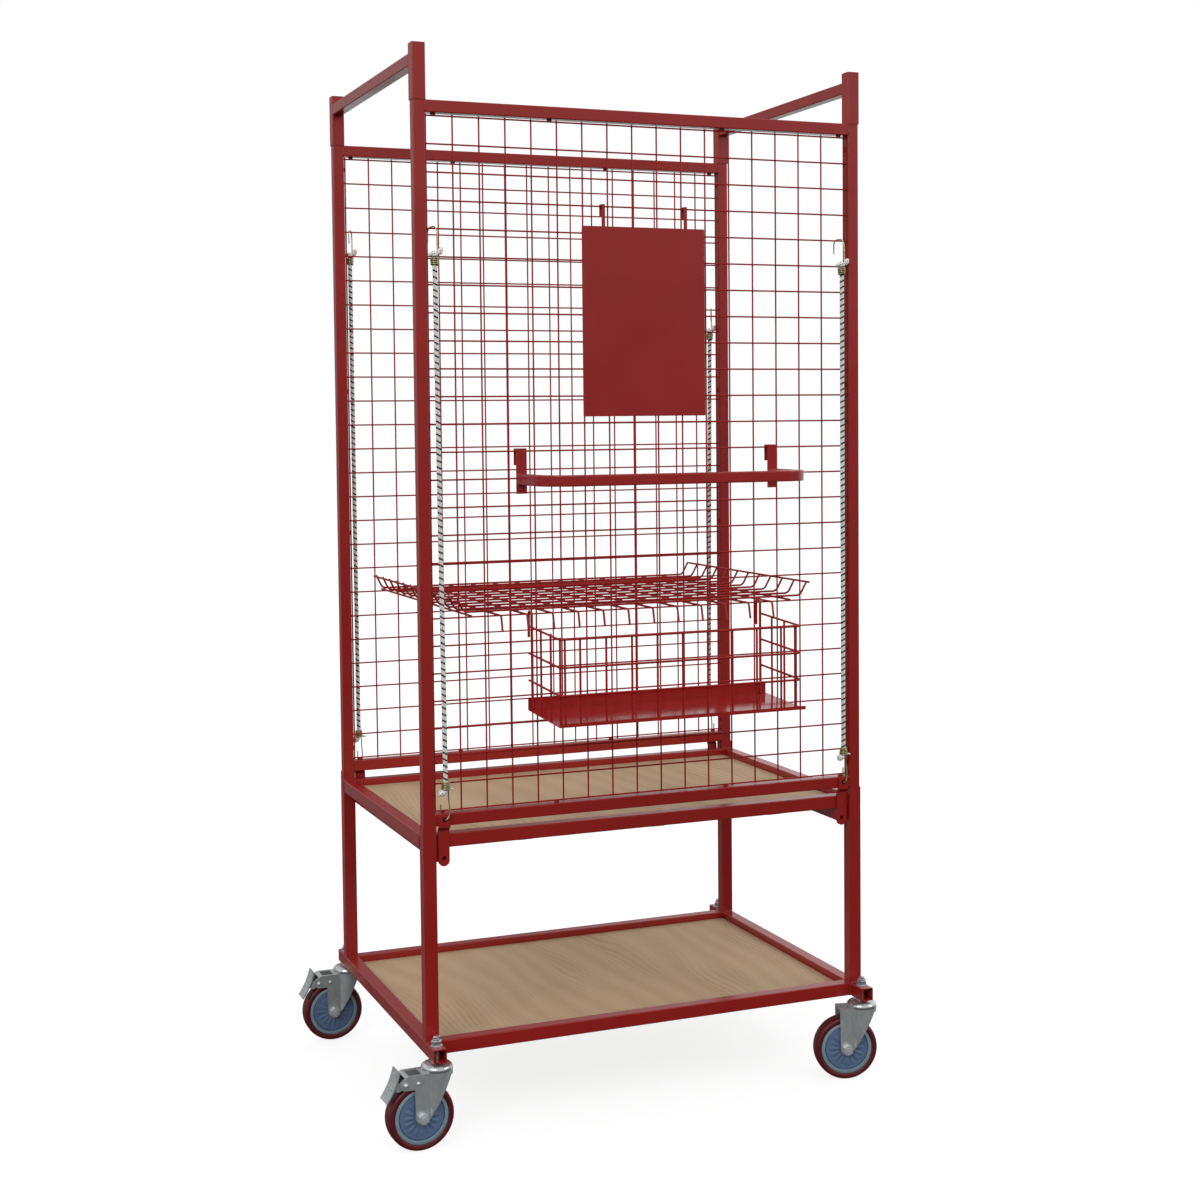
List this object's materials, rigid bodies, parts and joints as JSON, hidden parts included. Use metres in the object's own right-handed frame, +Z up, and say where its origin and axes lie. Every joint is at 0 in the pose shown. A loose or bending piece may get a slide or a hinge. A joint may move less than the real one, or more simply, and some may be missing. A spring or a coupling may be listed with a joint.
{
  "type": "roll cage container",
  "caption": "Mesh-sided parts trolley on swivel casters: two plywood decks, lift-off mesh panels with end bars, basket, wire shelf, hanger bar and board.",
  "frame": {"origin": "on the floor under the centre of the base frame", "axes": "+Z up, +X to the right along the mesh panels, -Y towards the side that carries the basket and board"},
  "size_m": [1.0791, 0.8083, 1.9795],
  "materials": {
    "red_paint": "glossy dark red powder coat",
    "plywood": "pale rotary-cut plywood, sealed",
    "zinc_steel": "pressed steel, bright zinc plated",
    "bright_zinc": "polished zinc plate",
    "hub_plastic": "slate blue moulded plastic",
    "tread": "dark red polyurethane",
    "black_plastic": "black moulded plastic",
    "braided_cord": "white and grey braid with black flecks",
    "yellow_zinc": "yellow passivated zinc wire"
  },
  "bodies": {
    "base": {"base_side_rails": "red_paint", "base_cross_rails": "red_paint", "legs": "red_paint", "shelf_side_rails": "red_paint", "shelf_cross_rails": "red_paint", "shelf_bearers": "red_paint", "post_stops": "red_paint", "base_deck": "plywood", "shelf_deck": "plywood", "deck_lugs": "red_paint", "caster_stems": "bright_zinc", "stem_nuts": "bright_zinc"},
    "front_left_swivel": {"front_left_fork": "zinc_steel", "front_left_axle": "bright_zinc"},
    "front_left_wheel": {"front_left_hub": "hub_plastic", "front_left_tread": "tread"},
    "front_left_brake": {"front_left_pedal": "zinc_steel", "front_left_brake_shoe": "black_plastic"},
    "front_right_swivel": {"front_right_fork": "zinc_steel", "front_right_axle": "bright_zinc"},
    "front_right_wheel": {"front_right_hub": "hub_plastic", "front_right_tread": "tread"},
    "back_left_swivel": {"back_left_fork": "zinc_steel", "back_left_axle": "bright_zinc"},
    "back_left_wheel": {"back_left_hub": "hub_plastic", "back_left_tread": "tread"},
    "back_left_brake": {"back_left_pedal": "zinc_steel", "back_left_brake_shoe": "black_plastic"},
    "back_right_swivel": {"back_right_fork": "zinc_steel", "back_right_axle": "bright_zinc"},
    "back_right_wheel": {"back_right_hub": "hub_plastic", "back_right_tread": "tread"},
    "front_panel": {"front_panel_posts": "red_paint", "front_panel_rails": "red_paint", "front_panel_mesh": "red_paint", "front_panel_straps": "red_paint", "front_left_cord": "braided_cord", "front_left_cord_hooks": "yellow_zinc", "front_right_cord": "braided_cord", "front_right_cord_hooks": "yellow_zinc"},
    "back_panel": {"back_panel_posts": "red_paint", "back_panel_rails": "red_paint", "back_panel_mesh": "red_paint", "back_panel_straps": "red_paint", "back_left_cord": "braided_cord", "back_left_cord_hooks": "yellow_zinc", "back_right_cord": "braided_cord", "back_right_cord_hooks": "yellow_zinc"},
    "left_end": {"left_end_bar": "red_paint"},
    "right_end": {"right_end_bar": "red_paint"},
    "notice_board": {"board_plate": "red_paint", "board_hooks": "red_paint"},
    "hanger_bar": {"hanger_tube": "red_paint", "hanger_brackets": "red_paint"},
    "basket": {"basket_wires": "red_paint", "basket_floor": "red_paint", "basket_hooks": "red_paint"},
    "wire_shelf": {"shelf_long_wires": "red_paint", "shelf_cross_wires": "red_paint"}
  },
  "joints": [
    {"name": "front_left_swivel_turn", "type": "hinge", "parent": "base", "child": "front_left_swivel", "pos_m": [-0.44, -0.322, 0.142], "axis": [0, 0, 1], "continuous": true},
    {"name": "front_left_wheel_spin", "type": "hinge", "parent": "front_left_swivel", "child": "front_left_wheel", "pos_m": [-0.47398, -0.32319, 0.0625], "axis": [-0.0349, 0.9994, 0], "continuous": true},
    {"name": "front_left_brake_press", "type": "hinge", "parent": "front_left_swivel", "child": "front_left_brake", "pos_m": [-0.50596, -0.3243, 0.127], "axis": [0.0349, -0.9994, 0], "range_deg": [0, 7]},
    {"name": "front_right_swivel_turn", "type": "hinge", "parent": "base", "child": "front_right_swivel", "pos_m": [0.44, -0.322, 0.142], "axis": [0, 0, 1], "continuous": true},
    {"name": "front_right_wheel_spin", "type": "hinge", "parent": "front_right_swivel", "child": "front_right_wheel", "pos_m": [0.40716, -0.3132, 0.0625], "axis": [0.2588, 0.9659, 0], "continuous": true},
    {"name": "back_left_swivel_turn", "type": "hinge", "parent": "base", "child": "back_left_swivel", "pos_m": [-0.44, 0.322, 0.142], "axis": [0, 0, 1], "continuous": true},
    {"name": "back_left_wheel_spin", "type": "hinge", "parent": "back_left_swivel", "child": "back_left_wheel", "pos_m": [-0.474, 0.322, 0.0625], "axis": [0, 1, 0], "continuous": true},
    {"name": "back_left_brake_press", "type": "hinge", "parent": "back_left_swivel", "child": "back_left_brake", "pos_m": [-0.506, 0.322, 0.127], "axis": [0, -1, 0], "range_deg": [0, 7]},
    {"name": "back_right_swivel_turn", "type": "hinge", "parent": "base", "child": "back_right_swivel", "pos_m": [0.44, 0.322, 0.142], "axis": [0, 0, 1], "continuous": true},
    {"name": "back_right_wheel_spin", "type": "hinge", "parent": "back_right_swivel", "child": "back_right_wheel", "pos_m": [0.474, 0.322, 0.0625], "axis": [0, -1, 0], "continuous": true},
    {"name": "front_panel_lift", "type": "slide", "parent": "base", "child": "front_panel", "axis": [0, 0, 1], "range_m": [0, 0.1]},
    {"name": "back_panel_lift", "type": "slide", "parent": "base", "child": "back_panel", "axis": [0, 0, 1], "range_m": [0, 0.1]},
    {"name": "left_end_lift", "type": "slide", "parent": "front_panel", "child": "left_end", "axis": [0, 0, 1], "range_m": [0, 0.08]},
    {"name": "right_end_lift", "type": "slide", "parent": "front_panel", "child": "right_end", "axis": [0, 0, 1], "range_m": [0, 0.08]},
    {"name": "notice_board_lift", "type": "slide", "parent": "front_panel", "child": "notice_board", "axis": [0, 0, 1], "range_m": [0, 0.03]},
    {"name": "hanger_bar_lift", "type": "slide", "parent": "front_panel", "child": "hanger_bar", "axis": [0, 0, 1], "range_m": [0, 0.03]},
    {"name": "basket_lift", "type": "slide", "parent": "front_panel", "child": "basket", "axis": [0, 0, 1], "range_m": [0, 0.02]},
    {"name": "wire_shelf_lift", "type": "slide", "parent": "front_panel", "child": "wire_shelf", "axis": [0, 0, 1], "range_m": [0, 0.035]}
  ],
  "couplings": [
    {"joint": "back_panel_lift", "follows": "front_panel_lift", "ratio": 1}
  ]
}
